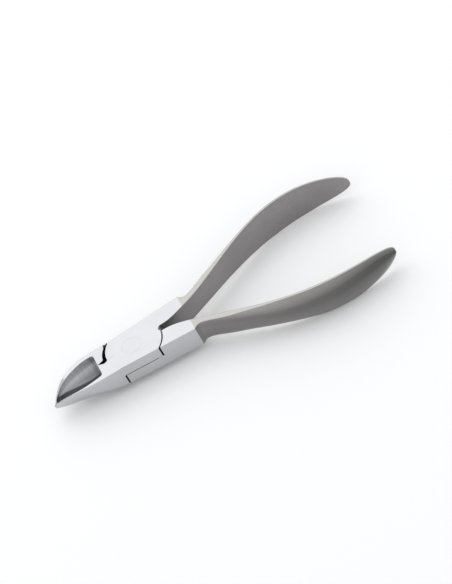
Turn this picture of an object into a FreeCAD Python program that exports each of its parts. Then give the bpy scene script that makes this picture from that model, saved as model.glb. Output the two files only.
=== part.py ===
import FreeCAD, Part
import math
import os

# Plier-type nail nipper with a flush riveted lap joint, millimetres.
# Origin: on the joint axis, in the plane of the joint block's back face.
# -X points at the jaw tips, +X along the handles, +Z out of the front face.
# The front half carries the upper (+Y) handle and the lower (-Y) jaw; the rear half the other two.

# Joint block
BLOCK_THICKNESS = 8.5
BLOCK_END_X = 22.0          # where the handles leave the block
BLOCK_END_HALF = 9.3        # half width of the block there
NECK_X = 7.0                # distance of the narrowest place from the axis, towards the jaws
NECK_HALF = 7.4             # half width of the block there

# Lap joint
SHOULDER_RADIUS = 11.3      # the step that each lap turns inside
JAW_GAP = 1.35              # room between a lap's end and the shoulder on the jaw side, in the middle
JAW_EDGE_GAP = 0.7          # the same where the slit runs out of the side
HANDLE_SHOULDER_RADIUS = 11.8   # the step on the handle side
HANDLE_GAP = 0.5           # room between the lap's end and that step
POCKET_DEPTH = 1.0          # how far the slit's end bites into the jaw beside it
POCKET_BITE = 0.3           # and into the lap
LAP_CLEARANCE = 0.04        # between the two flat lap faces
LAP_EDGE_BREAK = 0.12       # broken edge of each lap along the block's side
RIVET_RADIUS = 2.5
RIVET_HEAD_RADIUS = 3.6
RIVET_HEAD_DEPTH = 1.2
RIVET_CLEARANCE = 0.03      # radial, where the rear half runs on the rivet

# Fork between the handles
FORK_ROOT_X = 10.8
FORK_ROOT_RADIUS = 1.45
FORK_END_HALF = 4.0         # half opening where the block ends

# Jaws
JAW_TIP_X = 34.0            # distance of the tips from the axis
JAW_HALF = 7.5              # widest half width of the closed jaws
JAW_TAPER_POWER = 2.5       # how late the plan narrows to the tip
FRONT_DROP = 6.85           # how far the front rim has come down at the tip
FRONT_DROP_POWER = 3.5
BACK_RISE = 0.85            # how far the back has come up at the tip
BACK_RISE_POWER = 6.0
TIP_HALF = 0.25             # blunt end of the tip
EDGE_GAP = 0.03             # between the closed cutting edges
TIP_GAP = 0.34              # between the very tips, which stand a little open
TIP_GAP_LENGTH = 4.6

# Hollow ground into the front of both jaws
HOLLOW_LAND = 2.4           # solid heel between the shoulder and the hollow
HOLLOW_HEEL_HALF = 5.4
HOLLOW_HEEL_RADIUS = 1.1    # how the hollow's floor and sides curve into its end wall
HOLLOW_RIM = 1.8            # rim left outside the hollow at the heel
HOLLOW_RIM_TIP = 0.6        # rim left near the tip
HOLLOW_SHIFT = 0.8          # the hollow bulges this much towards the front half's jaw, halfway along
HOLLOW_FLOOR = 0.9          # metal left behind the hollow along the cutting edge
HOLLOW_PROUD = 0.15         # the cutter's straight sides start this much above the front face
HOLLOW_OVERRUN = 6.0        # and go this much higher

# Handles
HANDLE_END_X = 95.2
HANDLE_END_Y = 20.6         # inner face at the handle's end
HANDLE_ROOT_ANGLE = 21.6    # how steeply the inner face leaves the block, degrees
HANDLE_END_ANGLE = -20.6    # how it turns back in at the end, degrees
HANDLE_ROOT_PULL = 22.3     # length of the curve's lead at the root
HANDLE_END_PULL = 35.5      # and at the end
HANDLE_WIDTH = 13.6         # across the widest place
HANDLE_ROOT_WIDTH = 8.3
HANDLE_SWELL_X = 25.0       # where the width starts to grow
HANDLE_WIDEST_X = 69.0
END_ROUNDNESS = 2.3         # how full the rounded end is, 2 for an ellipse
END_DROP = 1.0              # how far back the handle ends sit from the mid plane
SHOULDER_LENGTH = 3.2       # from the block's end to the bottom of the shoulder's hollow

# Thickness of the handle from its flat inner face: at the crown's top, and at its long edges
ROOT_CROWN = 3.2
ROOT_EDGE = 2.4
ROOT_FULLNESS = 3.5         # 2 gives a round crown, more gives a flatter one with round shoulders
MIDDLE_CROWN = 3.9
MIDDLE_EDGE = 0.8
MIDDLE_FULLNESS = 2.0
END_CROWN = 2.6
END_EDGE = 0.5

MID_Z = BLOCK_THICKNESS / 2
X_AXIS = FreeCAD.Vector(1, 0, 0)
Y_AXIS = FreeCAD.Vector(0, 1, 0)
Z_AXIS = FreeCAD.Vector(0, 0, 1)


def vec(x, y, z=0.0):
    return FreeCAD.Vector(x, y, z)


def line(a, b):
    return Part.LineSegment(a, b).toShape()


def spline(points, start=None, end=None):
    curve = Part.BSplineCurve()
    if start is None:
        curve.interpolate(points)
    else:
        curve.interpolate(Points=points, InitialTangent=start, FinalTangent=end)
    return curve.toShape()


def prism(edges, z0, z1):
    """Solid between the heights z0 and z1 on a closed outline drawn in the XY plane."""
    wire = Part.Wire(Part.__sortEdges__(edges))
    face = Part.Face(wire)
    face.translate(vec(0, 0, z0))
    return face.extrude(vec(0, 0, z1 - z0))


def box(x0, x1, y0, y1, z0, z1):
    return Part.makeBox(x1 - x0, y1 - y0, z1 - z0, vec(x0, y0, z0))


def disc(radius, z0, z1):
    return Part.makeCylinder(radius, z1 - z0, vec(0, 0, z0))


def smoothstep(t):
    t = min(1.0, max(0.0, t))
    return t * t * (3 - 2 * t)


def mirrored(shape):
    """The same shape on the other side of the plane Y = 0."""
    return shape.mirror(vec(0, 0, 0), Y_AXIS)


def turned_over(shape):
    """The same shape turned half a turn about the long axis, front face to the back."""
    turned = shape.copy()
    turned.rotate(vec(0, 0, MID_Z), X_AXIS, 180)
    return turned


# ---------------------------------------------------------------- joint block

def block_half(x):
    """Half width of the block at x; it tapers evenly from the handles to the neck."""
    slope = (BLOCK_END_HALF - NECK_HALF) / (BLOCK_END_X + NECK_X)
    return NECK_HALF + slope * (x + NECK_X)


def block_side(x0, x1, z0, z1):
    """The +Y half of the block from x0 to x1."""
    y0 = block_half(x0)
    y1 = block_half(x1)
    corners = [vec(x0, 0), vec(x1, 0), vec(x1, y1), vec(x0, y0)]
    edges = [line(corners[i], corners[(i + 1) % 4]) for i in range(4)]
    return prism(edges, z0, z1)


def lap_end_radius():
    return SHOULDER_RADIUS - JAW_GAP


def jaw_shoulder(z0, z1):
    """The round recess that a lap turns inside; its far wall leans in so that the slit narrows outwards."""
    edge_x = math.sqrt(lap_end_radius() ** 2 - JAW_HALF ** 2) + JAW_EDGE_GAP
    reach = SHOULDER_RADIUS
    offset = (reach ** 2 - JAW_HALF ** 2 - edge_x ** 2) / (2 * (reach - edge_x))
    wall = Part.makeCylinder(reach - offset, z1 - z0, vec(-offset, 0, z0))
    return wall.fuse(disc(lap_end_radius(), z0, z1).common(box(-reach, reach, -reach, reach, z0, z1)))


def slit_run_out():
    """Where the slit at the lap's end turns into the line between the jaws, in the front layer."""
    start = -lap_end_radius() + POCKET_BITE
    end = -jaw_heel()
    run = end - start
    depth = POCKET_DEPTH
    lower = [
        vec(start, 0.5 * depth),
        vec(start + 0.12 * run, -0.55 * depth),
        vec(start + 0.36 * run, -depth),
        vec(start + 0.64 * run, -0.8 * depth),
        vec(end, 0),
    ]
    upper = [vec(end, 0), vec(start + 0.74 * run, 0.25 * depth), vec(-SHOULDER_RADIUS, 0.8 * depth)]
    corner = vec(start, 0.8 * depth)
    edges = [spline(lower), spline(upper), line(upper[-1], corner), line(corner, lower[0])]
    return prism(edges, MID_Z, BLOCK_THICKNESS + 1)


def lap_edge_break():
    """Groove along the -Y side of the block where the two laps meet."""
    size = LAP_EDGE_BREAK + LAP_CLEARANCE / 2
    ends = []
    for x in (-lap_end_radius(), SHOULDER_RADIUS):
        y = -block_half(x)
        around = [(y - size, 0), (y, size), (y + size, 0), (y, -size)]
        corners = [vec(x, side, MID_Z + up) for side, up in around]
        ends.append(Part.makePolygon(corners + [corners[0]]))
    groove = Part.makeLoft(ends, True, True)
    return groove.common(disc(lap_end_radius() + JAW_EDGE_GAP / 2, 0, BLOCK_THICKNESS))


def fork_cut():
    """The space between the handles inside the block, with a round root."""
    root_centre = FORK_ROOT_X + FORK_ROOT_RADIUS
    straight_x = root_centre + 0.35 * (BLOCK_END_X - root_centre)
    straight_half = FORK_ROOT_RADIUS + 0.13 * (FORK_END_HALF - FORK_ROOT_RADIUS)
    slope = math.tan(math.radians(HANDLE_ROOT_ANGLE))
    past = 4.0
    upper = [
        vec(root_centre, FORK_ROOT_RADIUS),
        vec(straight_x, straight_half),
        vec(BLOCK_END_X, FORK_END_HALF),
    ]
    side = spline(upper, vec(1, 0), vec(1, slope))
    end_top = vec(BLOCK_END_X + past, FORK_END_HALF + slope * past)
    end_low = vec(end_top.x, -end_top.y)
    root = Part.Arc(upper[0], vec(FORK_ROOT_X, 0), vec(root_centre, -FORK_ROOT_RADIUS)).toShape()
    edges = [
        side,
        line(upper[-1], end_top),
        line(end_top, end_low),
        line(end_low, vec(BLOCK_END_X, -FORK_END_HALF)),
        side.mirror(vec(0, 0), Y_AXIS),
        root,
    ]
    return prism(edges, -1, BLOCK_THICKNESS + 1)


# ---------------------------------------------------------------- handle

def handle_point(x):
    """Height and slope of the handle's inner face at x, on a cubic from the block's end to the handle's end."""
    a0 = math.radians(HANDLE_ROOT_ANGLE)
    a1 = math.radians(HANDLE_END_ANGLE)
    p0 = vec(BLOCK_END_X, FORK_END_HALF)
    p3 = vec(HANDLE_END_X, HANDLE_END_Y)
    p1 = p0 + vec(math.cos(a0), math.sin(a0)) * HANDLE_ROOT_PULL
    p2 = p3 - vec(math.cos(a1), math.sin(a1)) * HANDLE_END_PULL
    low = 0.0
    high = 1.0
    for _ in range(40):
        t = (low + high) / 2
        u = 1 - t
        point = p0 * u ** 3 + p1 * (3 * u * u * t) + p2 * (3 * u * t * t) + p3 * t ** 3
        if point.x < x:
            low = t
        else:
            high = t
    speed = (p1 - p0) * (u * u) + (p2 - p1) * (2 * u * t) + (p3 - p2) * (t * t)
    return point.y, speed.y / speed.x


def handle_half_width(x):
    """Half the handle's width: flush with the block, narrow at the root, widest later, rounded at the end."""
    root_half = HANDLE_ROOT_WIDTH / 2
    wide_half = HANDLE_WIDTH / 2
    if x > HANDLE_WIDEST_X:
        u = (x - HANDLE_WIDEST_X) / (HANDLE_END_X - HANDLE_WIDEST_X)
        return wide_half * (1 - u * u) ** (1 / END_ROUNDNESS)
    settled = smoothstep((x - BLOCK_END_X) / SHOULDER_LENGTH)
    swell = smoothstep((x - HANDLE_SWELL_X) / (HANDLE_WIDEST_X - HANDLE_SWELL_X))
    return MID_Z + (root_half - MID_Z) * settled + (wide_half - root_half) * swell


def handle_section(x, inner, crown, edge, fullness, middle=MID_Z):
    """D-shaped wire across the handle at x: flat inner face, thin edges, crown at the outside."""
    half = handle_half_width(x)
    points = []
    for share in (-1.0, -0.9, -0.6, 0.0, 0.6, 0.9, 1.0):
        rise = crown - (crown - edge) * abs(share) ** fullness
        points.append(vec(x, inner + rise, middle + share * half))
    low = vec(x, inner, middle - half)
    high = vec(x, inner, middle + half)
    return Part.Wire([line(low, points[0]), spline(points), line(points[-1], high), line(high, low)])


def blended(x, root, middle, end):
    """A value that goes from its root size to its middle size and on to its end size along the handle."""
    whole = HANDLE_END_X - BLOCK_END_X
    first = smoothstep((x - BLOCK_END_X - 0.05 * whole) / (0.40 * whole))
    last = smoothstep((x - BLOCK_END_X - 0.55 * whole) / (0.42 * whole))
    return root + (middle - root) * first + (end - middle) * last


def shoulder_sections():
    """From the block's square end down into the hollow where the handle starts."""
    sections = []
    block_side_height = BLOCK_END_HALF - FORK_END_HALF
    for share in (0.0, 0.14, 0.36, 0.68, 1.0):
        x = BLOCK_END_X + share * SHOULDER_LENGTH
        inner, slope = handle_point(x)
        lean = math.sqrt(1 + slope * slope)
        left = 1 - math.sin(math.radians(90 * share))
        crown = ROOT_CROWN * lean
        edge = ROOT_EDGE * lean
        crown += (block_side_height - crown) * left
        edge += (block_side_height - 0.03 - edge) * left
        sections.append(handle_section(x, inner, crown, edge, ROOT_FULLNESS))
    return sections


def handle(drop):
    """The +Y handle, from the block's end to its rounded end, which sits below the mid plane by drop."""
    sections = shoulder_sections()
    start = BLOCK_END_X + SHOULDER_LENGTH
    run = HANDLE_WIDEST_X - start
    reach = HANDLE_END_X - HANDLE_WIDEST_X
    stations = [start + share * run for share in (0.12, 0.28, 0.46, 0.64, 0.82, 1.0)]
    stations += [HANDLE_WIDEST_X + reach * math.sin(math.radians(turn)) for turn in (20, 38, 53, 66, 76, 83, 87)]
    for x in stations:
        inner, slope = handle_point(x)
        lean = math.sqrt(1 + slope * slope)
        crown = blended(x, ROOT_CROWN, MIDDLE_CROWN, END_CROWN) * lean
        edge = blended(x, ROOT_EDGE, MIDDLE_EDGE, END_EDGE) * lean
        fullness = blended(x, ROOT_FULLNESS, MIDDLE_FULLNESS, MIDDLE_FULLNESS)
        thin = handle_half_width(x) / (HANDLE_WIDTH / 2)
        if x > HANDLE_WIDEST_X:
            crown = edge + (crown - edge) * math.sqrt(thin)
        middle = MID_Z - drop * ((x - start) / (HANDLE_END_X - start)) ** 2
        sections.append(handle_section(x, inner, crown, edge, fullness, middle))
    return Part.makeLoft(sections, True, False)


# ---------------------------------------------------------------- jaw

def jaw_heel():
    """Distance of the hollow's end wall from the axis."""
    return SHOULDER_RADIUS + HOLLOW_LAND


def jaw_share(x):
    """0 at the hollow's heel and 1 at the tip, for a place x (negative)."""
    return max(0.0, (-x - jaw_heel()) / (JAW_TIP_X - jaw_heel()))


def jaw_half(x):
    s = jaw_share(x)
    return TIP_HALF + (JAW_HALF - TIP_HALF) * (1 - s ** JAW_TAPER_POWER)


def jaw_front(x):
    return BLOCK_THICKNESS - FRONT_DROP * jaw_share(x) ** FRONT_DROP_POWER


def jaw_back(x):
    return BACK_RISE * jaw_share(x) ** BACK_RISE_POWER


def jaw_rounding(x):
    """Share of the jaw's outer side that its back corner takes; it grows towards the tip."""
    full_x = jaw_heel() + 0.6 * (JAW_TIP_X - jaw_heel())
    return 0.05 + 0.80 * smoothstep((-x - NECK_X) / (full_x - NECK_X))


def jaw_section(x):
    """Wire across the +Y jaw at x: parting face, front, outer side, round back corner, back."""
    half = jaw_half(x)
    front = jaw_front(x)
    back = jaw_back(x)
    share = jaw_rounding(x)
    wide = share * half
    high = share * (front - back)
    y0 = EDGE_GAP / 2
    side_end = vec(x, half, back + high)
    back_end = vec(x, half - wide, back)
    quarter = []
    for angle in (30, 60):
        a = math.radians(angle)
        y = half - wide + wide * math.cos(a)
        z = back + high - high * math.sin(a)
        quarter.append(vec(x, y, z))
    corner = spline([side_end] + quarter + [back_end], vec(0, 0, -1), vec(0, -1, 0))
    return Part.Wire([
        line(vec(x, y0, back), vec(x, y0, front)),
        line(vec(x, y0, front), vec(x, half, front)),
        line(vec(x, half, front), side_end),
        corner,
        line(back_end, vec(x, y0, back)),
    ])


def jaw_blank():
    """The +Y jaw before its hollow is ground, from the neck to the tip."""
    heel = jaw_heel()
    reach = JAW_TIP_X - heel
    stations = [-NECK_X, -0.5 * (NECK_X + heel), -heel]
    stations += [-heel - share * reach for share in (0.2, 0.4, 0.55, 0.7, 0.82, 0.92, 1.0)]
    return Part.makeLoft([jaw_section(x) for x in stations], True, False)


def hollow_section(x, middle, half, floor, top):
    """Wire across the hollow's cutter at x: a half ellipse below, straight sides above."""
    right = vec(x, middle + half, top)
    left = vec(x, middle - half, top)
    arc_points = []
    for angle in (180, 215, 242, 270, 298, 325, 360):
        a = math.radians(angle)
        arc_points.append(vec(x, middle + half * math.cos(a), top + (top - floor) * math.sin(a)))
    bowl = spline(arc_points, vec(0, 0, -1), vec(0, 0, 1))
    above = vec(0, 0, HOLLOW_OVERRUN)
    return Part.Wire([bowl, line(right, right + above), line(right + above, left + above), line(left + above, left)])


def hollow_cutter():
    """Bowl ground into both closed jaws from the front, from its end wall to just short of the tips."""
    heel = jaw_heel()
    reach = JAW_TIP_X - heel
    sections = []
    for share in (0.0, 0.12, 0.3, 0.5, 0.68, 0.82, 0.93):
        x = -heel - share * reach
        rim = HOLLOW_RIM + (HOLLOW_RIM_TIP - HOLLOW_RIM) * share
        widening = smoothstep(share / 0.15)
        half = (jaw_half(x) - rim) * widening + HOLLOW_HEEL_HALF * (1 - widening)
        floor = jaw_back(x) + HOLLOW_FLOOR
        middle = -HOLLOW_SHIFT * math.sin(math.pi * share) ** 2
        sections.append(hollow_section(x, middle, half, floor, jaw_front(x) + HOLLOW_PROUD))
    cutter = Part.makeLoft(sections, True, False)
    end_edges = []
    for edge in cutter.Edges:
        middle = edge.valueAt((edge.FirstParameter + edge.LastParameter) / 2)
        if abs(middle.x + heel) < 0.001 and middle.z < BLOCK_THICKNESS + 0.9 * HOLLOW_OVERRUN:
            end_edges.append(edge)
    return cutter.makeFillet(HOLLOW_HEEL_RADIUS, end_edges)


def tip_gap():
    """Thin wedge between the very tips."""
    past = 1.0
    start = vec(-JAW_TIP_X + TIP_GAP_LENGTH, 0)
    half = 0.5 * TIP_GAP * (TIP_GAP_LENGTH + past) / TIP_GAP_LENGTH
    upper = vec(-JAW_TIP_X - past, half)
    lower = vec(upper.x, -half)
    return prism([line(start, upper), line(upper, lower), line(lower, start)], -1, BLOCK_THICKNESS + 1)


# ---------------------------------------------------------------- halves and rivet

def rivet(grow):
    """Rivet along the joint axis with a conical head at each face; grow widens it all round."""
    profile = [
        vec(0, 0, -grow),
        vec(RIVET_HEAD_RADIUS + grow, 0, -grow),
        vec(RIVET_HEAD_RADIUS + grow, 0, 0),
        vec(RIVET_RADIUS + grow, 0, RIVET_HEAD_DEPTH),
        vec(RIVET_RADIUS + grow, 0, BLOCK_THICKNESS - RIVET_HEAD_DEPTH),
        vec(RIVET_HEAD_RADIUS + grow, 0, BLOCK_THICKNESS),
        vec(RIVET_HEAD_RADIUS + grow, 0, BLOCK_THICKNESS + grow),
        vec(0, 0, BLOCK_THICKNESS + grow),
    ]
    if grow == 0:
        profile = [profile[0]] + profile[2:6] + [profile[7]]
    edges = [line(profile[i], profile[(i + 1) % len(profile)]) for i in range(len(profile))]
    return Part.Face(Part.Wire(edges)).revolve(vec(0, 0), Z_AXIS, 360)


def lap_and_root():
    """The front half's lap at the front of the joint, with the root that its handle grows from."""
    lap_low = MID_Z + LAP_CLEARANCE / 2
    handle_side_radius = HANDLE_SHOULDER_RADIUS - HANDLE_GAP
    upper_jaw_side = block_side(-SHOULDER_RADIUS, 0, lap_low, BLOCK_THICKNESS)
    upper_jaw_side = upper_jaw_side.common(disc(lap_end_radius(), 0, BLOCK_THICKNESS))
    lower_jaw_side = mirrored(block_side(-NECK_X, 0, lap_low, BLOCK_THICKNESS))
    lower_handle_side = mirrored(block_side(0, BLOCK_END_X, lap_low, BLOCK_THICKNESS))
    lower_handle_side = lower_handle_side.common(disc(handle_side_radius, 0, BLOCK_THICKNESS))
    root = block_side(0, BLOCK_END_X, 0, BLOCK_THICKNESS)
    root = root.cut(disc(HANDLE_SHOULDER_RADIUS, -1, lap_low))
    body = upper_jaw_side.fuse([lower_jaw_side, lower_handle_side, root])
    groove = lap_edge_break()
    return body.cut([fork_cut(), groove, turned_over(groove)])


def jaws(blank):
    """The lower jaw of the front half and the upper jaw of the rear half, with the shared hollow."""
    lower = mirrored(blank).cut(jaw_shoulder(-1, MID_Z + LAP_CLEARANCE / 2))
    upper = blank.cut(jaw_shoulder(MID_Z - LAP_CLEARANCE / 2, BLOCK_THICKNESS + 1))
    for cutter in (hollow_cutter(), slit_run_out(), turned_over(slit_run_out()), tip_gap()):
        lower = lower.cut(cutter)
        upper = upper.cut(cutter)
    return lower, upper


def build():
    """All the pieces by name, as they lie with the jaws closed."""
    lower_jaw, upper_jaw = jaws(jaw_blank())
    root = lap_and_root()
    front = root.fuse([handle(END_DROP), lower_jaw]).removeSplitter().cut(rivet(0.0))
    rear = turned_over(root.fuse(handle(-END_DROP)))
    rear = rear.fuse(upper_jaw).removeSplitter().cut(rivet(RIVET_CLEARANCE))
    return {"front_half": front, "rear_half": rear, "pivot_rivet": rivet(0.0)}


def main():
    os.makedirs("parts", exist_ok=True)
    for name, shape in build().items():
        print(name, "solids", len(shape.Solids), "valid", shape.isValid(), "volume", round(shape.Volume, 1))
        shape.exportStep("parts/" + name + ".step")


main()
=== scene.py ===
import math

import bpy
from mathutils import Matrix, Vector


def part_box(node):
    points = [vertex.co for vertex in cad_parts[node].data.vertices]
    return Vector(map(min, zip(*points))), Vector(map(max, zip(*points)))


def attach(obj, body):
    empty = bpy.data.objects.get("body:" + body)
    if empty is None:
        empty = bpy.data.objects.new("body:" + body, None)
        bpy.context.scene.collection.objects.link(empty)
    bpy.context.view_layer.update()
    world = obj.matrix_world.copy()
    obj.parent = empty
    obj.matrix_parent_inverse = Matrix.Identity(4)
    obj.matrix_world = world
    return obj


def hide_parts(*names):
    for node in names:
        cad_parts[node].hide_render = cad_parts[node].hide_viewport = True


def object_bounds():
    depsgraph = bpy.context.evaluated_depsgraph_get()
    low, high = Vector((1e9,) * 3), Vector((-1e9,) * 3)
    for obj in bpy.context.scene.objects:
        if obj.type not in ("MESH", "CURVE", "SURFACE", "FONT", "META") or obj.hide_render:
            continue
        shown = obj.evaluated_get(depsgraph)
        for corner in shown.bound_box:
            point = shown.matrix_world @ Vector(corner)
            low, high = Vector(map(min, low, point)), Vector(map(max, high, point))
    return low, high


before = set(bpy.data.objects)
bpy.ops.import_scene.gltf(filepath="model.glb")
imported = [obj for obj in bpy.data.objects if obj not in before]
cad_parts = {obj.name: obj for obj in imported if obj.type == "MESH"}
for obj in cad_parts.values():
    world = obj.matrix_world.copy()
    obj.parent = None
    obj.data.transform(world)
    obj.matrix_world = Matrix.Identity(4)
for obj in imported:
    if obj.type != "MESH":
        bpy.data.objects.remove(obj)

CAD_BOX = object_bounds()
MM = 0.001

# Sizes of the nipper that the finishes follow, in millimetres
BLOCK_THICKNESS = 1000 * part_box("pivot_rivet")[1].z
MID_Z = BLOCK_THICKNESS / 2
BLOCK_END_X = 22.0
BLOCK_END_HALF = 9.3
NECK_X = 7.0
NECK_HALF = 7.4
FORK_ROOT_X = 10.8
FORK_HALF = 4.6             # the fork between the handles stays within this, to either side
JOINT_END_X = 14.0          # the faces inside the joint end before this
JAW_HEEL_X = -13.7
JAW_TIP_X = -34.0
FRONT_DROP = 6.85
FRONT_DROP_POWER = 3.5
CORNER_HEIGHT = 2.72        # top of the round back corner where the jaw leaves the joint
BOWL_HALF = 5.7

# Where the finishes and the painted shade change along the nipper, in millimetres
POLISH_SPILL = (12.0, 18.0)     # the polish fades out into the fork
HANDLE_SHADE_SPAN = (25.0, 92.0)          # painted shade on the handles' outer crowns deepens along this span
HEEL_SHADE_SPAN = (-16.4, -14.8)     # painted shade across the bowl's heel

# Colours of the steel
POLISH = (0.515, 0.518, 0.535)
POLISH_SMEAR = (0.545, 0.548, 0.562)
POLISH_HAIRLINE = (0.43, 0.43, 0.44)
POLISH_EDGE = (0.70, 0.70, 0.71)
BLAST = (0.322, 0.308, 0.312)
BLAST_CLOUD = (0.366, 0.352, 0.350)
BLAST_PIT = (0.15, 0.145, 0.145)
BLAST_EDGE = (0.52, 0.51, 0.495)
BLAST_SPILL = (0.50, 0.50, 0.51)
# painted shade on the handles' outer crowns
BLAST_PAINTED_SHADE = (0.085, 0.084, 0.080)
# painted highlight on the handles' rims
BLAST_RIM_HIGHLIGHT = (0.50, 0.49, 0.465)
GROUND_STEEL = (0.375, 0.375, 0.388)
GROUND_CLOUD = (0.445, 0.445, 0.46)
# painted shade towards the bowl's heel
GROUND_HEEL_SHADE = (0.255, 0.255, 0.263)
# painted sheen on the bowl's outer sides
GROUND_SIDE_SHEEN = (0.97, 0.97, 0.99)
GROUND_MARK = (0.33, 0.33, 0.345)
# painted shade along the cutting line and at the heel
GROUND_PAINTED_SHADE = (0.07, 0.07, 0.074)
GROUND_EDGE = (0.80, 0.80, 0.82)
# oiled steel inside the joint, darkened further as painted shade so the slits read black
OILED_AND_SHADED = (0.05, 0.05, 0.05)
OILED_AND_SHADED_CLOUD = (0.09, 0.088, 0.085)

# Places of the finishes in each piece's list
POLISHED = 0
SATIN = 1
GROUND = 2
# faces inside the joint and where the jaws meet: bare steel darkened as painted shade
BARE_SHADED = 3

# How facets are told apart and joined
FLUSH = 0.02                # millimetres from a face that still count as on it
SIDE_SLACK = 0.16           # the same for the block's tapering sides
RIM_SLACK = 0.06            # and for the jaws' falling front rim
PARTING_HALF = 0.3          # the faces where the jaws meet lie within this of the cutting line
ALONG_AXIS = 0.9            # part of a facet's normal along an axis that counts as square to it
STEPS_PER_METRE = 1e7       # corners that round to the same step are one point


# ---------------------------------------------------------------- camera, floor and light

def camera():
    """Long lens, looking down at the front face from the side of the lower handle."""
    lift = math.radians(46.9)
    roll = math.radians(30.7)
    aim_along = 37.68
    aim_across = 2.17
    distance = 1.1305
    away = Vector((0, -math.sin(lift), math.cos(lift)))
    along = Vector((1, 0, 0))
    across = Vector((0, math.cos(lift), math.sin(lift)))
    right = along * math.cos(roll) - across * math.sin(roll)
    up = along * math.sin(roll) + across * math.cos(roll)
    aim = (along * aim_along + across * aim_across + Vector((0, 0, MID_Z))) * MM
    turn = Matrix((right, up, away)).transposed().to_4x4()
    data = bpy.data.cameras.new("camera")
    data.lens = 200
    data.sensor_width = 36
    data.clip_end = 20
    eye = bpy.data.objects.new("camera", data)
    bpy.context.scene.collection.objects.link(eye)
    eye.matrix_world = Matrix.Translation(aim + away * distance) @ turn
    bpy.context.scene.camera = eye


def soft_box(name, direction, distance, width, height, radiance):
    """Rectangular soft light aimed at the nipper's middle; radiance is how bright its face looks."""
    data = bpy.data.lights.new(name, "AREA")
    data.shape = "RECTANGLE"
    data.size = width
    data.size_y = height
    data.energy = radiance * math.pi * width * height
    lamp = bpy.data.objects.new(name, data)
    bpy.context.scene.collection.objects.link(lamp)
    away = Vector(direction).normalized()
    nipper_middle = Vector((0.03, 0, 0))
    lamp.location = away * distance + nipper_middle
    lamp.rotation_euler = away.to_track_quat("Z", "Y").to_euler()


def studio():
    """Even white room with one soft box behind the nipper."""
    world = bpy.data.worlds.new("studio")
    bpy.context.scene.world = world
    world.use_nodes = True
    background = world.node_tree.nodes["Background"]
    background.inputs["Color"].default_value = (0.98, 0.99, 1.0, 1)
    background.inputs["Strength"].default_value = 0.97
    soft_box("soft_box_behind", (0, 0.73, 0.68), distance=0.7, width=0.9, height=0.7, radiance=0.60)
    bpy.context.scene.view_settings.view_transform = "Standard"


def floor():
    """Sheet of white paper that the lowest handle touches."""
    lowest = CAD_BOX[0][2]
    reach = 3.0
    outline = ((-reach, -reach), (reach, -reach), (reach, reach), (-reach, reach))
    corners = [(x, y, lowest) for x, y in outline]
    mesh = bpy.data.meshes.new("floor")
    mesh.from_pydata(corners, [], [(0, 1, 2, 3)])
    plane = bpy.data.objects.new("floor", mesh)
    bpy.context.scene.collection.objects.link(plane)
    paper = bpy.data.materials.new("white_paper")
    paper.use_nodes = True
    shader = paper.node_tree.nodes["Principled BSDF"]
    shader.inputs["Base Color"].default_value = (0.94, 0.94, 0.94, 1)
    shader.inputs["Roughness"].default_value = 0.9
    mesh.materials.append(paper)


# ---------------------------------------------------------------- finishes

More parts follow.
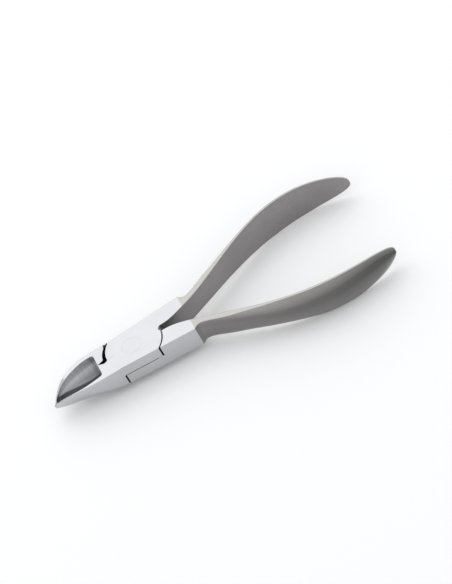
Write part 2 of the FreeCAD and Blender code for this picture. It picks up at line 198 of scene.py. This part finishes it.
class Finish:
    """One steel finish: a metal shader and the nodes that feed it."""

    def __init__(self, name):
        self.material = bpy.data.materials.new(name)
        self.material.use_nodes = True
        self.tree = self.material.node_tree
        self.shader = self.tree.nodes["Principled BSDF"]
        self.shader.inputs["Metallic"].default_value = 1.0
        self.place = self.node("ShaderNodeTexCoord").outputs["Object"]

    def node(self, kind, **values):
        made = self.tree.nodes.new(kind)
        for key, value in values.items():
            setattr(made, key, value)
        return made

    def link(self, source, target):
        self.tree.links.new(source, target)

    def split(self, vector):
        """The X, Y and Z of a vector."""
        parts = self.node("ShaderNodeSeparateXYZ")
        self.link(vector, parts.inputs[0])
        return parts.outputs

    def maths(self, operation, *values):
        step = self.node("ShaderNodeMath", operation=operation)
        for socket, value in zip(step.inputs, values):
            if isinstance(value, (int, float)):
                socket.default_value = value
            else:
                self.link(value, socket)
        return step.outputs[0]

    def ranged(self, value, low, high, start=0.3, end=0.7):
        """Low where the value is at start, high where it is at end, even in between and level beyond."""
        spread = self.node("ShaderNodeMapRange")
        spread.inputs["From Min"].default_value = start
        spread.inputs["From Max"].default_value = end
        spread.inputs["To Min"].default_value = low
        spread.inputs["To Max"].default_value = high
        self.link(value, spread.inputs["Value"])
        return spread.outputs["Result"]

    def mixed(self, share, a, b):
        """Colour between a and b."""
        mix = self.node("ShaderNodeMix", data_type="RGBA")
        self.link(share, mix.inputs["Factor"])
        for name, value in (("A", a), ("B", b)):
            if isinstance(value, tuple):
                mix.inputs[name].default_value = value + (1,)
            else:
                self.link(value, mix.inputs[name])
        return mix.outputs["Result"]

    def noise(self, waves, detail=3.0, roughness=0.55, turn=0.0):
        """Pattern with so many waves in a metre along each axis, turned about Z."""
        mapping = self.node("ShaderNodeMapping")
        mapping.inputs["Scale"].default_value = waves
        mapping.inputs["Rotation"].default_value = (0, 0, turn)
        self.link(self.place, mapping.inputs["Vector"])
        pattern = self.node("ShaderNodeTexNoise")
        pattern.inputs["Scale"].default_value = 1.0
        pattern.inputs["Detail"].default_value = detail
        pattern.inputs["Roughness"].default_value = roughness
        self.link(mapping.outputs["Vector"], pattern.inputs["Vector"])
        return pattern.outputs["Fac"]

    def facing(self):
        """How far each place faces away from the nipper's middle line, and how far it faces to the front."""
        normal = self.split(self.node("ShaderNodeTexCoord").outputs["Normal"])
        side = self.maths("SIGN", self.split(self.place)["Y"])
        return self.maths("MULTIPLY", normal["Y"], side), normal["Z"]

    def edge(self, radius):
        """Rounded normal near edges, and how strongly each place belongs to an edge."""
        rounded = self.node("ShaderNodeBevel", samples=6)
        rounded.inputs["Radius"].default_value = radius * MM
        true = self.node("ShaderNodeNewGeometry")
        alike = self.node("ShaderNodeVectorMath", operation="DOT_PRODUCT")
        self.link(rounded.outputs["Normal"], alike.inputs[0])
        self.link(true.outputs["Normal"], alike.inputs[1])
        return rounded.outputs["Normal"], self.ranged(alike.outputs["Value"], 1.0, 0.0, 0.72, 0.985)

    def coloured(self, colour):
        self.link(colour, self.shader.inputs["Base Color"])

    def roughened(self, roughness):
        self.link(roughness, self.shader.inputs["Roughness"])

    def bumped(self, normal, *layers):
        """Bump layers, each (pattern, depth in millimetres), on top of the rounded normal."""
        for pattern, depth in layers:
            bump = self.node("ShaderNodeBump")
            bump.inputs["Distance"].default_value = depth * MM
            self.link(pattern, bump.inputs["Height"])
            self.link(normal, bump.inputs["Normal"])
            normal = bump.outputs["Normal"]
        self.link(normal, self.shader.inputs["Normal"])


def mirror_polish(name):
    """Buffed steel: nearly a mirror, with fine buffing lines, a few hairlines and faint smears."""
    f = Finish(name)
    normal, edge = f.edge(0.09)
    smear = f.noise((70, 110, 110), 4.0)
    lines = f.noise((90, 2600, 2600), 3.0, 0.6)
    hairs = f.noise((160, 3800, 3800), 2.0, 0.5, 0.35)
    hair = f.ranged(hairs, 0.0, 1.0, 0.70, 0.76)
    tone = f.mixed(f.ranged(smear, 0.0, 1.0), POLISH, POLISH_SMEAR)
    tone = f.mixed(f.maths("MULTIPLY", hair, 0.25), tone, POLISH_HAIRLINE)
    f.coloured(f.mixed(f.maths("MULTIPLY", edge, 0.6), tone, POLISH_EDGE))
    rough = f.maths("ADD", f.ranged(smear, 0.10, 0.15), f.ranged(lines, 0.0, 0.05))
    rough = f.maths("ADD", rough, f.maths("MULTIPLY", hair, 0.08))
    f.roughened(f.maths("ADD", rough, f.maths("MULTIPLY", edge, 0.10)))
    f.bumped(normal, (lines, 0.0012), (hair, 0.0015))
    return f.material


def satin_blast(name):
    """Blasted handles: soft grain, a trace of brushing, pale edges, painted highlights on the rims that face
    front or back, and painted shade darkening the outer crowns where they face forward.
    """
    f = Finish(name)
    normal, edge = f.edge(0.28)
    cloud = f.noise((60, 90, 90), 4.0)
    grain = f.noise((2600, 2600, 2600), 3.0, 0.65)
    brush = f.noise((240, 5200, 5200), 2.0, 0.5)
    along = f.split(f.place)["X"]
    away, front = f.facing()
    spill = f.ranged(along, 1.0, 0.0, POLISH_SPILL[0] * MM, POLISH_SPILL[1] * MM)
    # Painted shade: darker on outward faces that turn to the front, more so towards the handle ends
    painted_shade = f.ranged(away, 0.0, 1.0, 0.0, 0.45)
    painted_shade = f.maths("MULTIPLY", painted_shade, f.ranged(front, 0.12, 1.0, -0.38, 0.22))
    painted_shade = f.maths("MULTIPLY", painted_shade, f.ranged(along, 0.45, 1.0, HANDLE_SHADE_SPAN[0] * MM, HANDLE_SHADE_SPAN[1] * MM))
    # Painted highlight: paler on faces that turn to the front or back
    rim = f.ranged(f.maths("ABSOLUTE", front), 0.0, 1.0, 0.40, 0.90)
    tone = f.mixed(f.ranged(cloud, 0.0, 1.0), BLAST, BLAST_CLOUD)
    tone = f.mixed(spill, tone, BLAST_SPILL)
    tone = f.mixed(painted_shade, tone, BLAST_PAINTED_SHADE)
    tone = f.mixed(rim, tone, BLAST_RIM_HIGHLIGHT)
    tone = f.mixed(f.maths("MULTIPLY", f.ranged(grain, 0.0, 1.0), 0.32), tone, BLAST_PIT)
    f.coloured(f.mixed(f.maths("MULTIPLY", edge, 0.75), tone, BLAST_EDGE))
    rough = f.maths("ADD", f.ranged(cloud, 0.36, 0.42), f.ranged(brush, -0.02, 0.03))
    f.roughened(f.maths("SUBTRACT", rough, f.maths("MULTIPLY", edge, 0.10)))
    f.bumped(normal, (grain, 0.006), (brush, 0.002))
    return f.material


def wheel_ground(name):
    """The bowl in the jaws: ground across by a small wheel, with painted shade towards its heel and along
    its cutting line, and a painted sheen towards its outer sides.
    """
    f = Finish(name)
    normal, edge = f.edge(0.10)
    cloud = f.noise((120, 160, 160), 4.0)
    marks = f.noise((2600, 260, 260), 3.0, 0.65, 0.18)
    grit = f.noise((6000, 3000, 3000), 2.0)

    # How far along the bowl from heel to tip, and how far out to its side, both from 0 to about 1
    spot = f.split(f.place)
    share = f.ranged(spot["X"], 1.0, 0.0, JAW_TIP_X * MM, JAW_HEEL_X * MM)
    reach = f.maths("MULTIPLY", f.maths("SUBTRACT", 1.03, f.maths("POWER", share, 3.0)), BOWL_HALF * MM)
    height = f.maths("DIVIDE", f.maths("ABSOLUTE", spot["Y"]), reach)

    # Painted sheen: paler towards the bowl's outer sides, most towards the tip
    bright = f.ranged(height, 0.0, 1.0, 0.55, 0.90)
    bright = f.maths("MULTIPLY", bright, f.ranged(share, 0.65, 1.0, 0.15, 0.60))
    tone = f.mixed(f.ranged(cloud, 0.0, 1.0), GROUND_STEEL, GROUND_CLOUD)
    # Painted shade: darker over the heel half of the bowl
    tone = f.mixed(f.ranged(share, 0.9, 0.0, 0.20, 0.60), tone, GROUND_HEEL_SHADE)
    tone = f.mixed(bright, tone, GROUND_SIDE_SHEEN)
    tone = f.mixed(f.maths("MULTIPLY", f.ranged(marks, 0.0, 1.0), 0.30), tone, GROUND_MARK)

    # The painted shade band along the cutting line is narrowest a third of the way along, and fades at the
    # tip
    waist = f.maths("MULTIPLY", share, f.maths("SUBTRACT", 0.73, f.maths("MULTIPLY", share, 1.1)))
    band = f.ranged(f.maths("ADD", height, waist), 1.0, 0.0, 0.48, 0.55)
    band = f.maths("MULTIPLY", band, f.ranged(cloud, 0.88, 1.0))
    band = f.maths("MULTIPLY", band, f.ranged(share, 1.0, 0.45, 0.82, 0.97))
    # Painted shade across the heel, broken up by the grinding marks
    heel = f.ranged(spot["X"], 0.0, 1.0, HEEL_SHADE_SPAN[0] * MM, HEEL_SHADE_SPAN[1] * MM)
    heel = f.maths("MULTIPLY", heel, f.ranged(marks, 0.10, 0.8))
    tone = f.mixed(f.maths("MAXIMUM", band, heel), tone, GROUND_PAINTED_SHADE)

    f.coloured(f.mixed(f.maths("MULTIPLY", edge, 0.5), tone, GROUND_EDGE))
    f.roughened(f.maths("ADD", f.ranged(marks, 0.34, 0.44), f.ranged(height, 0.0, 0.22, 0.55, 0.85)))
    f.bumped(normal, (marks, 0.006), (grit, 0.002))
    return f.material


def bare_shaded_joint(name):
    """Turned faces inside the joint, never polished and dull with oil, their colour darkened further as
    painted shade so the slits and the parting read black.
    """
    f = Finish(name)
    normal, _ = f.edge(0.05)
    rings = f.noise((900, 900, 3000), 2.0)
    cloud = f.noise((200, 200, 200), 3.0)
    f.coloured(f.mixed(f.ranged(cloud, 0.0, 1.0), OILED_AND_SHADED, OILED_AND_SHADED_CLOUD))
    f.roughened(f.ranged(rings, 0.42, 0.60))
    f.bumped(normal, (rings, 0.004))
    return f.material


# ---------------------------------------------------------------- pieces

def block_half(x):
    """Half width of the joint block at x; it goes on narrowing into the jaws."""
    return NECK_HALF + (BLOCK_END_HALF - NECK_HALF) / (BLOCK_END_X + NECK_X) * (x + NECK_X)


def jaw_front(x):
    """Height of the jaws' front rim at x."""
    share = max(0.0, (JAW_HEEL_X - x) / (JAW_HEEL_X - JAW_TIP_X))
    return BLOCK_THICKNESS - FRONT_DROP * share ** FRONT_DROP_POWER


def jaw_finish(spot, facing):
    """The finish of a facet between the jaws' heel and their tips."""
    x, y, z = spot
    if abs(y) < PARTING_HALF and abs(facing.y) > ALONG_AXIS:
        return BARE_SHADED
    below_rim = z < jaw_front(x) - RIM_SLACK
    faces_inwards = facing.y * y < 0 or facing.x < -ALONG_AXIS
    return GROUND if below_rim and faces_inwards and facing.z > -0.05 else POLISHED


def finish_at(spot, facing):
    """The finish of the facet at spot (millimetres) that faces that way."""
    x, y, z = spot
    if x > BLOCK_END_X:
        return SATIN
    if x > FORK_ROOT_X - 0.1 and abs(y) < FORK_HALF and abs(facing.z) < 0.3 and facing.y * y <= 0.02:
        return SATIN
    if x < JAW_HEEL_X + FLUSH:
        return jaw_finish(spot, facing)
    round_corner = x < 0.1 - NECK_X and z < CORNER_HEIGHT and facing.y * y > 0.1 and facing.z < -0.05
    front_or_back = abs(facing.z) > ALONG_AXIS and (z > BLOCK_THICKNESS - FLUSH or z < FLUSH)
    side = abs(facing.y) > 0.8 and abs(y) > block_half(x) - SIDE_SLACK
    if round_corner or front_or_back or side or x >= JOINT_END_X:
        return POLISHED
    return BARE_SHADED


def finished_copy(name, node, body, finishes):
    """The CAD node's own surface as one closed mesh with its exact normals, and a finish for every facet."""
    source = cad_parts[node].data
    corner_normals = [Vector(n.vector) for n in source.corner_normals]
    numbers = {}
    points = []
    facets = []
    normals = []
    for facet in source.polygons:
        corners = []
        for at in facet.vertices:
            place = source.vertices[at].co
            key = tuple(round(measure * STEPS_PER_METRE) for measure in place)
            if key not in numbers:
                numbers[key] = len(points)
                points.append(place.copy())
            corners.append(numbers[key])
        if len(set(corners)) == len(corners):
            facets.append(corners)
            normals.extend(corner_normals[at] for at in facet.loop_indices)
    mesh = bpy.data.meshes.new(name)
    mesh.from_pydata(points, [], facets)
    for finish in finishes:
        mesh.materials.append(finish)
    for facet in mesh.polygons:
        facet.use_smooth = True
        facet.material_index = finish_at(facet.center / MM, facet.normal)
    mesh.normals_split_custom_set(normals)
    piece = bpy.data.objects.new(name, mesh)
    bpy.context.scene.collection.objects.link(piece)
    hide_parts(node)
    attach(piece, body)


camera()
studio()
floor()
finishes = [
    mirror_polish("polished_steel"),
    satin_blast("satin_steel"),
    wheel_ground("ground_steel"),
    bare_shaded_joint("joint_steel"),
]
finished_copy("front_half_steel", "front_half", "front_half", finishes)
finished_copy("rear_half_steel", "rear_half", "rear_half", finishes)
finished_copy("rivet_steel", "pivot_rivet", "front_half", finishes)
